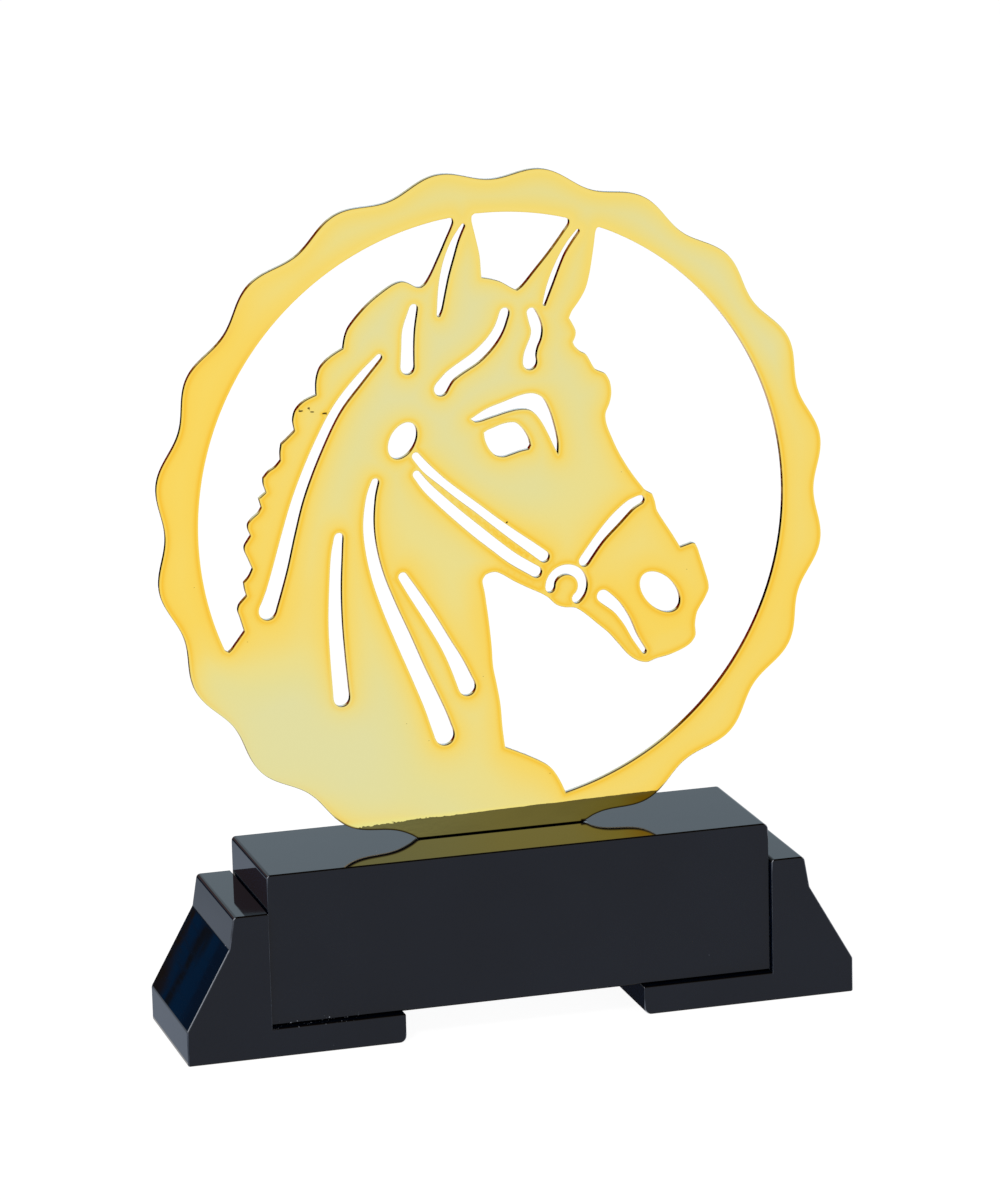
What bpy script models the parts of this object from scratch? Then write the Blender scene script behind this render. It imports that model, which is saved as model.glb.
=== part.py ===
"""Horse trophy: a gold-plated plate with a horse head cut out of it, standing in a black plinth.

Blender 4.5, metres, +Z up. The origin is at the middle of the underside, +X runs to the right as
the horse looks, and +Y runs to the back. The plate stands in the middle of the plinth's depth.
"""
import math

import bpy
from mathutils import Vector

MM = 0.001

# Plinth block
BLOCK_LENGTH = 149.9 * MM
BLOCK_DEPTH = 43.2 * MM
BLOCK_HEIGHT = 44.6 * MM

# Feet: each has a ledge under the block, an upright end beside it and a sloping toe
LEDGE_HEIGHT = 8.6 * MM
LEDGE_LENGTH = 39.45 * MM
FOOT_HEIGHT = 42.8 * MM
FOOT_TOP_WIDTH = 10.1 * MM
SHOULDER_WIDTH = 11.7 * MM
SHOULDER_HEIGHT = 33.4 * MM
TOE_WIDTH = 24.8 * MM
TOE_HEIGHT = 10.3 * MM
FOOT_PROUD = 1.7 * MM

# Plate: a ring with a scalloped rim, and a hidden tab that drops into the block
PLATE_THICKNESS = 2.0 * MM
RING_INNER_RADIUS = 87.06 * MM
RING_WIDTH = 11.05 * MM
LOBE_COUNT = 20
LOBE_RISE = 1.64 * MM
LOBE_TURN = math.radians(8.45)
RIM_SINK = 3.85 * MM
PLATE_OFFSET = 0.75 * MM
TAB_LENGTH = 48.0 * MM
TAB_DEPTH = 10.0 * MM

# Fits and edges
SEAT_GAP = 0.3 * MM
SLOT_CLEARANCE = 0.3 * MM
EDGE_ROUND = 1.3 * MM
EDGE_SEGMENTS = 2

# Fineness of the curves
CURVE_STEP = 1.9 * MM
LOBE_STEPS = 12
END_STEPS = 6
ELLIPSE_STEPS = 28
ARC_DEGREES = 2.0
SMALL_ARC_DEGREES = 20.0

# Places that follow from the sizes above
RIM_RADIUS = RING_INNER_RADIUS + RING_WIDTH
BLOCK_BOTTOM = LEDGE_HEIGHT + SEAT_GAP
BLOCK_TOP = BLOCK_BOTTOM + BLOCK_HEIGHT
FOOT_INNER_X = BLOCK_LENGTH / 2 + SEAT_GAP
FOOT_DEPTH = BLOCK_DEPTH + 2 * FOOT_PROUD
PLATE_CENTRE_Z = BLOCK_TOP + RIM_RADIUS - RIM_SINK
CUTTER_EXCESS = 5.0 * MM

# The horse is drawn about the ring's centre, in units of its own, and grows with the ring. A run is
# a smooth stretch through its points, across and up, and runs meet at corners.

# Opening behind the mane: from the ring beside the left ear, down the back of the mane, lock by lock
MANE_BACK = [
    [(-11.2, 86.3), (-10.3, 86.0), (-10.1, 85.0), (-12.3, 80.0), (-14.7, 75.0), (-17.3, 70.0),
     (-18.8, 67.9), (-20.0, 67.1), (-21.3, 67.2), (-24.0, 68.7), (-25.7, 69.1), (-28.0, 68.5),
     (-33.3, 65.2), (-36.7, 62.4), (-41.6, 56.8), (-42.8, 53.5), (-43.2, 51.3)],
    [(-43.2, 51.3), (-47.0, 49.2), (-50.1, 46.2), (-51.3, 42.3), (-51.4, 38.6)],
    [(-51.4, 38.6), (-55.0, 37.1), (-57.6, 34.6), (-58.4, 31.5), (-58.0, 28.8)],
    [(-58.0, 28.8), (-60.0, 27.0), (-62.0, 25.3), (-62.4, 23.0), (-62.4, 20.6)],
    [(-62.4, 20.6), (-64.0, 18.9), (-66.0, 17.7), (-67.6, 15.9), (-67.6, 14.2), (-66.9, 11.8)],
    [(-66.9, 11.8), (-69.1, 10.1)],
    [(-69.1, 10.1), (-68.4, 7.5)],
    [(-68.4, 7.5), (-69.3, 6.1), (-71.3, 4.5), (-72.5, 2.9), (-72.5, 1.5), (-71.8, -0.4)],
    [(-71.8, -0.4), (-72.8, -1.8), (-73.7, -3.3), (-73.7, -4.7), (-72.8, -7.0), (-71.6, -10.0)],
    [(-71.6, -10.0), (-72.7, -12.1), (-74.3, -13.8)],
    [(-74.3, -13.8), (-74.1, -15.7), (-73.6, -17.7)],
    [(-73.6, -17.7), (-75.9, -20.2), (-76.3, -21.8), (-75.7, -24.0), (-74.6, -28.0)],
    [(-74.6, -28.0), (-78.4, -32.8)],
    [(-78.4, -32.8), (-79.4, -33.6), (-80.6, -32.9)],
]

# Opening between the ears: down the left ear, along the poll and up the right ear
EAR_GAP = [
    [(-3.9, 87.0), (-4.7, 86.4), (-4.8, 85.3), (-3.7, 80.0), (-2.7, 75.0), (-2.4, 70.0), (-2.3, 68.6)],
    [(-2.3, 68.6), (0.0, 68.1), (3.3, 67.0), (6.7, 64.9), (8.1, 64.2), (9.5, 65.1), (14.0, 70.0),
     (18.4, 75.0), (22.5, 80.2), (24.0, 82.3), (24.0, 83.3), (23.2, 83.9)],
]

# Opening before the horse: right ear, forelock, brow, nose, muzzle, jaw and throat, down to the ring
FACE = [
    [(32.8, 80.6), (32.1, 80.4), (31.7, 79.4), (31.2, 76.1), (30.5, 71.9), (29.7, 67.7), (28.3, 63.0),
     (26.0, 59.3), (24.2, 57.0), (23.3, 55.1)],
    [(23.3, 55.1), (24.3, 53.3), (25.2, 51.2), (25.1, 49.8), (24.3, 48.0)],
    [(24.3, 48.0), (24.7, 47.0), (26.3, 45.3), (28.0, 44.3), (29.3, 42.2), (30.8, 39.7), (33.7, 38.2),
     (35.0, 36.0), (35.5, 32.3), (34.8, 29.2), (33.7, 26.7), (33.8, 23.8), (35.2, 19.8), (37.3, 15.0),
     (40.0, 10.2), (42.7, 6.2), (45.0, 3.2)],
    [(45.0, 3.2), (47.2, 1.8), (48.0, -0.5), (48.5, -3.0), (50.3, -6.2), (53.0, -10.5), (55.5, -14.8)],
    [(55.5, -14.8), (59.2, -13.8)],
    [(59.2, -13.8), (60.0, -14.0), (61.5, -18.0), (62.8, -22.2), (63.9, -26.3), (63.9, -28.0),
     (62.2, -31.4), (60.3, -34.5), (59.6, -38.4), (59.7, -41.4), (58.0, -43.8), (54.7, -45.5),
     (50.8, -46.7), (47.5, -47.3), (45.0, -48.1), (42.0, -47.4), (39.3, -45.5), (37.0, -42.7),
     (33.3, -38.3), (30.0, -35.3), (26.7, -32.3), (23.3, -29.9), (20.3, -29.5), (17.7, -28.5),
     (15.7, -26.5), (13.3, -24.8), (10.0, -23.1), (5.0, -20.3), (1.7, -18.1), (-0.3, -17.2),
     (-3.3, -17.8), (-4.2, -19.3), (-3.7, -22.7), (-2.7, -31.0), (-2.0, -39.0), (-1.7, -45.0),
     (-0.7, -50.7), (0.2, -56.5), (0.7, -64.0), (1.3, -69.4)],
    [(1.3, -69.4), (5.0, -71.1), (10.0, -73.6), (14.3, -76.3), (16.3, -78.7), (18.0, -81.8),
     (19.3, -84.9)],
]

EYEBROW = [
    [(-6.5, 28.1), (-5.2, 27.1), (0.0, 28.1), (5.0, 29.3), (8.3, 29.7), (11.3, 29.2), (13.7, 26.8),
     (16.0, 22.7), (18.0, 18.2), (19.2, 15.7)],
    [(19.2, 15.7), (19.4, 19.0), (18.5, 24.0), (17.0, 29.0), (15.0, 32.6), (12.0, 34.1), (8.3, 33.8),
     (3.3, 32.3), (-1.7, 30.7), (-6.5, 28.1)],
]

EYE = [(-2.7, 23.8), (0.0, 25.0), (3.3, 26.0), (6.7, 26.0), (8.8, 24.2), (10.7, 21.0), (11.2, 19.0),
       (10.5, 17.9), (8.0, 17.5), (5.0, 16.7), (3.0, 16.3), (0.7, 16.9), (-1.3, 19.0), (-2.5, 22.0)]

# Ellipses: centre across, centre up, half length, half width, tilt in degrees
ELLIPSES = {
    "strap rosette": (-26.7, 23.45, 5.65, 3.8, 58.0),
    "nostril": (49.15, -27.5, 7.5, 4.55, -46.5),
}

# Slots: points along the middle as across, up and half width, with round ends
SLOTS = {
    "left ear": [(-7.3, 83.8, 0.65), (-9.5, 80.0, 1.1), (-11.5, 75.0, 1.45), (-13.0, 70.0, 1.4),
                 (-14.0, 65.0, 1.2), (-14.8, 60.0, 0.8), (-15.1, 58.9, 0.6)],
    "right ear": [(26.5, 80.0, 0.55), (24.25, 77.3, 0.7), (22.0, 74.0, 0.76), (20.0, 70.0, 0.9),
                  (18.3, 66.0, 0.95), (17.0, 62.5, 0.77), (16.1, 59.7, 0.5)],
    "forelock root": [(-22.4, 61.2, 1.3), (-24.0, 55.0, 1.9), (-24.4, 50.0, 1.95), (-24.65, 44.5, 2.1)],
    "forelock": [(4.3, 58.0, 1.5), (2.8, 53.9, 1.6), (0.45, 50.3, 1.7), (-4.1, 46.0, 1.8),
                 (-9.1, 42.95, 1.7), (-12.3, 40.8, 1.75), (-15.0, 37.5, 2.1)],
    "forelock wave": [(12.2, 57.5, 1.4), (13.0, 55.3, 1.7), (13.7, 52.6, 1.75), (13.4, 50.2, 1.75),
                      (12.3, 47.6, 1.75), (11.6, 45.3, 1.95), (11.5, 43.1, 2.15)],
    "upper strap": [(-23.0, 18.6, 1.15), (-20.0, 14.9, 1.34), (-15.0, 10.15, 1.15), (-10.0, 5.85, 1.2),
                    (-5.0, 1.75, 1.2), (0.0, -2.5, 1.27), (5.0, -6.6, 1.4), (10.0, -10.5, 1.55),
                    (14.4, -14.0, 1.65)],
    "lower strap": [(-22.9, 13.3, 1.15), (-20.0, 9.35, 1.37), (-15.0, 4.15, 1.5), (-10.0, -0.65, 1.6),
                    (-5.0, -5.2, 1.7), (0.0, -9.55, 1.65), (5.0, -13.7, 1.68), (12.0, -18.3, 1.65)],
    "noseband": [(43.6, 0.3, 1.35), (41.0, -0.85, 1.6), (36.45, -4.7, 1.9), (31.2, -10.1, 1.65),
                 (26.4, -16.3, 1.65)],
    "mouth": [(31.8, -27.2, 1.85), (33.8, -28.9, 1.8), (36.2, -31.2, 1.55), (39.1, -35.6, 1.25),
              (41.35, -40.35, 0.95), (44.0, -44.7, 0.75)],
    "long mane lock": [(-32.9, 48.0, 0.95), (-38.95, 41.85, 1.42), (-45.5, 34.1, 1.5),
                       (-51.9, 22.55, 1.65), (-57.5, 9.65, 1.8), (-60.75, -0.6, 2.05),
                       (-63.5, -10.35, 2.3), (-65.8, -17.6, 2.4), (-67.7, -22.6, 2.65)],
    "long neck lock": [(-35.1, 12.0, 1.2), (-36.3, 8.2, 1.45), (-37.3, 0.0, 1.72), (-36.7, -8.0, 1.8),
                       (-34.95, -16.0, 1.95), (-31.9, -25.0, 2.2), (-27.9, -35.0, 2.4),
                       (-23.9, -45.0, 2.42), (-19.8, -55.0, 2.7), (-18.0, -60.0, 2.92),
                       (-16.65, -64.1, 2.95)],
    "short neck lock": [(-27.8, -16.2, 1.35), (-25.5, -20.0, 1.55), (-20.3, -28.6, 1.72),
                        (-15.35, -37.5, 1.8), (-12.5, -43.2, 2.2), (-9.55, -50.4, 2.6)],
    "back neck lock": [(-46.25, -3.1, 1.4), (-46.95, -8.0, 1.75), (-47.7, -18.0, 1.9),
                       (-47.95, -28.0, 2.15), (-47.6, -38.0, 2.3), (-46.85, -50.2, 2.45)],
}

# Ring for the bit: a round slot, as centre across, centre up, radius, half width, first and last angle
BIT_RING = (20.9, -23.3, 4.9, 1.5, 180.0, -52.0)

# The face's outline ends on the ring's inner edge, which gives the drawing its scale
RING_ON_DRAWING = math.hypot(*FACE[-1][-1])
DRAWING_UNIT = RING_INNER_RADIUS / RING_ON_DRAWING


def clear_scene():
    for item in list(bpy.data.objects):
        bpy.data.objects.remove(item, do_unlink=True)


def make_collection(name):
    collection = bpy.data.collections.new(name)
    bpy.context.scene.collection.children.link(collection)
    return collection


def make_material(name, colour, metallic, roughness):
    material = bpy.data.materials.new(name)
    material.use_nodes = True
    shader = material.node_tree.nodes["Principled BSDF"]
    shader.inputs["Base Color"].default_value = (*colour, 1.0)
    shader.inputs["Metallic"].default_value = metallic
    shader.inputs["Roughness"].default_value = roughness
    return material


def curve_point(before, start, end, after, share):
    """Point a share of the way from start to end, on a centripetal Catmull-Rom curve."""
    knots = [0.0]
    for here, there in ((before, start), (start, end), (end, after)):
        knots.append(knots[-1] + math.sqrt((there - here).length))
    at = knots[1] + share * (knots[2] - knots[1])

    def blend(first, second, low, high):
        weight = (at - knots[low]) / (knots[high] - knots[low])
        return first * (1 - weight) + second * weight

    low_part = blend(before, start, 0, 1)
    mid_part = blend(start, end, 1, 2)
    high_part = blend(end, after, 2, 3)
    return blend(blend(low_part, mid_part, 0, 2), blend(mid_part, high_part, 1, 3), 1, 2)


def smooth_points(anchors, closed=False):
    """Points along a smooth curve through the anchors; an open curve keeps both its ends."""
    anchors = [Vector(anchor) for anchor in anchors]
    if closed:
        padded = [anchors[-1], *anchors, anchors[0], anchors[1]]
    else:
        padded = [2 * anchors[0] - anchors[1], *anchors, 2 * anchors[-1] - anchors[-2]]
    points = []
    for before, start, end, after in zip(padded, padded[1:], padded[2:], padded[3:]):
        length = (end - start).length * DRAWING_UNIT
        steps = max(1, round(length / CURVE_STEP))
        if len(anchors) == 2:
            steps = 1
        for step in range(steps):
            points.append(curve_point(before, start, end, after, step / steps))
    if not closed:
        points.append(anchors[-1])
    return points


def runs_outline(runs):
    """One line of points along smooth runs that meet at corners."""
    points = []
    for run in runs:
        points.extend(smooth_points(run)[:-1])
    points.append(Vector(runs[-1][-1]))
    return points


def ring_arc(start, end):
    """Points on the ring's inner edge from the angle of one point, clockwise, to that of another."""
    first = math.atan2(start.y, start.x)
    last = math.atan2(end.y, end.x)
    while last > first:
        last -= math.tau
    steps = max(1, round(math.degrees(first - last) / ARC_DEGREES))
    points = []
    for step in range(1, steps):
        angle = first + (last - first) * step / steps
        points.append(Vector((math.cos(angle), math.sin(angle))) * RING_ON_DRAWING)
    return points


def opening(runs, ring_goes_clockwise):
    """A drawn line closed along the ring's inner edge."""
    line = runs_outline(runs)
    if ring_goes_clockwise:
        return line + ring_arc(line[-1], line[0])
    return line + ring_arc(line[0], line[-1])[::-1]


def ellipse(across, up, half_length, half_width, tilt):
    turn = math.radians(tilt)
    long_axis = Vector((math.cos(turn), math.sin(turn))) * half_length
    short_axis = Vector((-math.sin(turn), math.cos(turn))) * half_width
    points = []
    for step in range(ELLIPSE_STEPS):
        angle = math.tau * step / ELLIPSE_STEPS
        points.append(Vector((across, up)) + long_axis * math.cos(angle) + short_axis * math.sin(angle))
    return points


def round_end(centre, radius, direction):
    """Half circle about a slot's end, from its left side round the front to its right side."""
    start = math.atan2(direction.y, direction.x) + math.pi / 2
    points = []
    for step in range(END_STEPS + 1):
        angle = start - math.pi * step / END_STEPS
        points.append(centre + Vector((math.cos(angle), math.sin(angle))) * radius)
    return points


def slot_outline(middle):
    """Outline of a slot with round ends, from points that hold across, up and half width."""
    places = [point.xy for point in middle]
    widths = [point.z for point in middle]
    left = []
    right = []
    for index in range(1, len(middle) - 1):
        direction = (places[index + 1] - places[index - 1]).normalized()
        sideways = Vector((-direction.y, direction.x)) * widths[index]
        left.append(places[index] + sideways)
        right.append(places[index] - sideways)
    last = round_end(places[-1], widths[-1], places[-1] - places[-2])
    first = round_end(places[0], widths[0], places[0] - places[1])
    return left + last + right[::-1] + first


def arc_middle(across, up, radius, half_width, first, last):
    """Middle line of a slot that follows part of a circle."""
    steps = round(abs(first - last) / SMALL_ARC_DEGREES)
    points = []
    for step in range(steps + 1):
        angle = math.radians(first + (last - first) * step / steps)
        points.append(Vector((across + radius * math.cos(angle), up + radius * math.sin(angle),
                              half_width)))
    return points


def rim_outline():
    """Scalloped rim about the ring's centre, with the tab in place of its lowest stretch."""
    half_tab = TAB_LENGTH / 2
    tab_bottom = BLOCK_TOP - TAB_DEPTH - PLATE_CENTRE_Z
    steps = LOBE_COUNT * LOBE_STEPS
    points = []
    for step in range(steps):
        angle = math.tau * step / steps - math.pi / 2
        radius = RIM_RADIUS + LOBE_RISE * math.cos(LOBE_COUNT * (angle - LOBE_TURN))
        point = Vector((radius * math.cos(angle), radius * math.sin(angle)))
        if point.y > 0 or abs(point.x) > half_tab + CURVE_STEP / 4:
            points.append(point)
    left_root = Vector((-half_tab, points[-1].y))
    right_root = Vector((half_tab, points[0].y))
    tab = [left_root, Vector((-half_tab, tab_bottom)), Vector((half_tab, tab_bottom)), right_root]
    return points + tab


def figure_outlines():
    """Every opening in the plate, in drawing units."""
    outlines = [opening(MANE_BACK, True), opening(EAR_GAP, False), opening(FACE, False)]
    outlines.append(runs_outline(EYEBROW)[:-1])
    outlines.append(smooth_points(EYE, closed=True))
    for values in ELLIPSES.values():
        outlines.append(ellipse(*values))
    for middle in SLOTS.values():
        outlines.append(slot_outline(smooth_points(middle)))
    outlines.append(slot_outline(arc_middle(*BIT_RING)))
    return outlines


def flat_piece(name, outlines, thickness, material, collection):
    """Upright flat piece from closed outlines in X and Z, half its thickness before and behind."""
    curve = bpy.data.curves.new(name, "CURVE")
    curve.dimensions = "2D"
    curve.fill_mode = "BOTH"
    curve.extrude = thickness / 2
    for outline in outlines:
        spline = curve.splines.new("POLY")
        spline.points.add(len(outline) - 1)
        for point, place in zip(spline.points, outline):
            point.co = (place[0], place[1], 0.0, 1.0)
        spline.use_cyclic_u = True
    curve.materials.append(material)
    piece = bpy.data.objects.new(name, curve)
    piece.rotation_euler.x = math.pi / 2
    collection.objects.link(piece)
    return piece


def box(name, size, centre, collection):
    bpy.ops.mesh.primitive_cube_add(size=1.0, location=centre, scale=size)
    piece = bpy.context.object
    bpy.ops.object.transform_apply(location=False, rotation=False, scale=True)
    piece.name = name
    for owner in list(piece.users_collection):
        owner.objects.unlink(piece)
    collection.objects.link(piece)
    return piece


def round_edges(piece):
    bevel = piece.modifiers.new("Rounded edges", "BEVEL")
    bevel.width = EDGE_ROUND
    bevel.segments = EDGE_SEGMENTS
    bevel.limit_method = "ANGLE"


def make_medallion(material, collection):
    outlines = [rim_outline()]
    for outline in figure_outlines():
        outlines.append([point * DRAWING_UNIT for point in outline])
    plate = flat_piece("medallion", outlines, PLATE_THICKNESS, material, collection)
    plate.location = (PLATE_OFFSET, 0.0, PLATE_CENTRE_Z)
    return plate


def sunk_reach():
    """How far the plate reaches to its sides at or below the level of the block's top."""
    outline = rim_outline()
    level = BLOCK_TOP - PLATE_CENTRE_Z
    reach = 0.0
    for here, there in zip(outline, outline[1:] + outline[:1]):
        if min(here.y, there.y) > level:
            continue
        if max(here.y, there.y) > level:
            crossing = here.lerp(there, (level - here.y) / (there.y - here.y))
            reach = max(reach, abs(crossing.x))
        else:
            reach = max(reach, abs(here.x), abs(there.x))
    return reach


def make_slot_cutter(collection):
    """Box round the part of the plate that is below the block's top."""
    half_length = sunk_reach() + SLOT_CLEARANCE
    bottom = PLATE_CENTRE_Z + min(point.y for point in rim_outline()) - SLOT_CLEARANCE
    top = BLOCK_TOP + CUTTER_EXCESS
    size = (2 * half_length, PLATE_THICKNESS + 2 * SLOT_CLEARANCE, top - bottom)
    cutter = box("plate_slot", size, (PLATE_OFFSET, 0.0, (top + bottom) / 2), collection)
    cutter.display_type = "WIRE"
    cutter.hide_render = True
    return cutter


def make_block(material, collection, cutter):
    size = (BLOCK_LENGTH, BLOCK_DEPTH, BLOCK_HEIGHT)
    block = box("plinth_block", size, (0.0, 0.0, (BLOCK_BOTTOM + BLOCK_TOP) / 2), collection)
    block.data.materials.append(material)
    round_edges(block)
    slot = block.modifiers.new("Plate slot", "BOOLEAN")
    slot.operation = "DIFFERENCE"
    slot.solver = "EXACT"
    slot.object = cutter
    return block


def make_foot(name, side, material, collection):
    """Foot at one end of the block; side is 1 for the right and -1 for the left."""
    profile = [
        (FOOT_INNER_X - LEDGE_LENGTH, 0.0),
        (FOOT_INNER_X + TOE_WIDTH, 0.0),
        (FOOT_INNER_X + TOE_WIDTH, TOE_HEIGHT),
        (FOOT_INNER_X + SHOULDER_WIDTH, SHOULDER_HEIGHT),
        (FOOT_INNER_X + FOOT_TOP_WIDTH, FOOT_HEIGHT),
        (FOOT_INNER_X, FOOT_HEIGHT),
        (FOOT_INNER_X, LEDGE_HEIGHT),
        (FOOT_INNER_X - LEDGE_LENGTH, LEDGE_HEIGHT),
    ]
    outline = [(side * across, up) for across, up in profile]
    foot = flat_piece(name, [outline], FOOT_DEPTH, material, collection)
    weld = foot.modifiers.new("Joined caps", "WELD")
    weld.merge_threshold = 0.00005
    round_edges(foot)
    return foot


def main():
    clear_scene()
    trophy = make_collection("horse_trophy")
    cutters = make_collection("cutters")
    gold = make_material("gold_plating", (0.83, 0.70, 0.30), 1.0, 0.08)
    lacquer = make_material("black_lacquer", (0.008, 0.010, 0.014), 0.0, 0.08)

    cutter = make_slot_cutter(cutters)
    pieces = [
        make_medallion(gold, trophy),
        make_block(lacquer, trophy, cutter),
        make_foot("left_foot", -1, lacquer, trophy),
        make_foot("right_foot", 1, lacquer, trophy),
    ]
    root = bpy.data.objects.new("trophy_root", None)
    trophy.objects.link(root)
    for piece in pieces:
        piece.parent = root


main()
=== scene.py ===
"""The looks of the horse trophy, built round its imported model.

A gold-plated plate with a horse's head cut out of it stands in a slot in a black lacquered plinth.
Lengths here are in metres, in the model's own frame: X to the right, Y away from the viewer, Z up.
"""
import math

import bmesh
import bpy
import numpy as np
from mathutils import Matrix, Vector
from mathutils.geometry import delaunay_2d_cdt
from mathutils.kdtree import KDTree


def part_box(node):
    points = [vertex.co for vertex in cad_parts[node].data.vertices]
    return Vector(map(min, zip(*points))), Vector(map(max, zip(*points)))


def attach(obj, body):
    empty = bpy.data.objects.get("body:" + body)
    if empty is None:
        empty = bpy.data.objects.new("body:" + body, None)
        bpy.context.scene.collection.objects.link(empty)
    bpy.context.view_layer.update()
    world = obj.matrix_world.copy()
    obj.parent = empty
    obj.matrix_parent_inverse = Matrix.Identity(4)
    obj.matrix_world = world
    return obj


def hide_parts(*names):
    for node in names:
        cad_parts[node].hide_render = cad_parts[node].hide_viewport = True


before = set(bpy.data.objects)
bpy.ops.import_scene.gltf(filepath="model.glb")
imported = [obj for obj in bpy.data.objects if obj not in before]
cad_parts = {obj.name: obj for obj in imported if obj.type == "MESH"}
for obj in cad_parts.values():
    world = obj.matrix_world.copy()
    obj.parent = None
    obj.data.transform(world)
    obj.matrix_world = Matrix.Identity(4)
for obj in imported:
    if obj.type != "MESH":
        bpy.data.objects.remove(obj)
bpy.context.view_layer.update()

MM = 0.001

# A SPAN below says where a smooth change starts and ends, then from what to what, if that isn't 0 to 1.

# The camera, at the photograph's viewing angle: its turns in degrees, its lens and sensor in millimetres
CAMERA_PLACE = (-0.40154, -1.41639, 0.47988)
CAMERA_TURN = 15.896
CAMERA_PITCH = 13.660
CAMERA_ROLL = 1.412
CAMERA_LENS = 158.18
SENSOR = 36.0
NEAREST_SEEN = 0.05
FARTHEST_SEEN = 50.0

# The plate's mesh
FRONT_FACING = -0.999
SAME_PLACE = 0.01 * MM
PLACE_DIGITS = 6
LONG_RUN = 3
EDGE_ROUND = 0.12 * MM
EDGE_STEPS = 2
OUTLINE_STEP = 0.55 * MM
GRID_STEP = 1.25 * MM
GRID_CLEARANCE = 0.5 * GRID_STEP
CORNER_TURN = math.radians(38)
MITER_LIMIT = 2.5
INSIDE_ONLY = 1
MERGE_DISTANCE = 1e-9

# Marks on the plate's front: x, z, half length and half width in millimetres, lean in degrees, and darkness
PLATE_CENTRE = (0.00075, 0.14776)
MARKS = [
    (-56.2, 34.4, 1.0, 0.30, 3, 1.0),
    (-53.9, 35.1, 0.5, 0.26, 15, 1.0),
    (-52.9, 33.9, 0.9, 0.24, -6, 1.0),
    (-49.3, 33.2, 1.1, 0.32, 3, 1.0),
    (3.4, -2.9, 0.45, 0.35, 40, 1.0),
    (-4.8, -47.7, 0.22, 0.15, 0, 0.5),
    (-28.0, -59.5, 0.20, 0.15, 0, 0.5),
    (-21.5, -65.2, 0.22, 0.15, 30, 0.5),
    (-74.0, -31.0, 0.22, 0.15, 0, 0.5),
    (38.0, 9.0, 0.22, 0.15, 0, 0.5),
    (57.3, -21.5, 0.22, 0.15, 0, 0.5),
    (14.6, -78.6, 0.28, 0.16, 60, 0.6),
    (-88.8, -13.8, 0.22, 0.15, 0, 0.5),
]

# The points round a mark, the share of it that is fully dark, and how far round it the grid is cleared
MARK_POINTS = 8
MARK_CORE = 0.55
MARK_STRETCH = 1.3
MARK_MARGIN = 0.25
MARK_SHADE = (58, 44, 18)

# Where the plating's painted reflection is paler or warmer: a place (x, z), how far it reaches, and by how
# much
PAINTED_REFLECTION_PATCHES = [
    ((-0.020, 0.205), (0.060, 0.040), 0.30),
    ((-0.028, 0.130), (0.036, 0.036), -0.42),
    ((0.012, 0.076), (0.036, 0.030), -0.55),
    ((-0.056, 0.082), (0.036, 0.036), 0.55),
    ((-0.022, 0.084), (0.022, 0.030), -0.22),
    ((-0.078, 0.086), (0.040, 0.044), 0.75),
    ((0.072, 0.208), (0.046, 0.060), 0.55),
    ((-0.040, 0.227), (0.036, 0.022), -0.25),
    ((0.006, 0.118), (0.024, 0.034), -0.50),
    ((0.036, 0.118), (0.034, 0.018), -0.35),
    ((0.008, 0.190), (0.060, 0.050), 0.14),
    ((0.086, 0.108), (0.026, 0.040), -0.25),
    ((0.037, 0.184), (0.024, 0.042), 0.30),
    ((0.085, 0.195), (0.020, 0.028), 0.35),
    ((0.012, 0.136), (0.022, 0.022), -0.35),
    ((-0.004, 0.104), (0.016, 0.032), -0.30),
    ((0.050, 0.113), (0.020, 0.014), -0.35),
    ((-0.014, 0.230), (0.024, 0.018), -0.22),
    ((-0.050, 0.219), (0.024, 0.020), -0.16),
    ((-0.088, 0.104), (0.022, 0.024), 0.32),
]

# Where the painted reflection changes little towards a cut: a place, how far it reaches, and how much it
# holds back
PLAIN_RIM = ((-0.072, 0.078), (0.052, 0.052))
PLAIN_RIM_SHARE = 0.9

# How pale the plating's painted reflection is, from 0 to 1: in the middle, what the sides and the crown take
# off, and its clouds
PALE_MIDDLE = 0.80
LEFT_SPAN = (-0.030, -0.080, 0.0, 0.78)
RIGHT_SPAN = (0.008, 0.048, 0.0, 0.50)
EARS_SPAN = (0.200, 0.236)
CROWN_SPAN = (0.226, 0.236, 0.0, 0.04)
CLOUD_SCALE = 26.0
CLOUD_SPAN = (0.3, 0.7, -0.07, 0.07)

# The plating's painted reflection shades by how pale it is, where the sheet is broad, near a cut, and right
# at it
BROAD_SHADES = [
    (0.0, (249, 216, 101)),
    (0.3, (245, 218, 118)),
    (0.5, (238, 222, 140)),
    (0.75, (231, 222, 153)),
    (1.0, (228, 222, 163)),
]
MIDDLE_SHADES = [
    (0.0, (251, 213, 91)),
    (0.5, (248, 217, 108)),
    (0.8, (245, 219, 117)),
    (1.0, (241, 221, 131)),
]
RIM_SHADES = [
    (0.0, (249, 196, 58)),
    (0.5, (248, 202, 66)),
    (1.0, (247, 210, 90)),
]
CROWN_RIM_SHADE = (247, 221, 122)
CROWN_RIM_SPAN = (0.185, 0.232)

# What makes up for the floor's being a little brighter than white, in red, green and blue
FLOOR_GLARE = (0.926, 0.938, 0.926)
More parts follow.
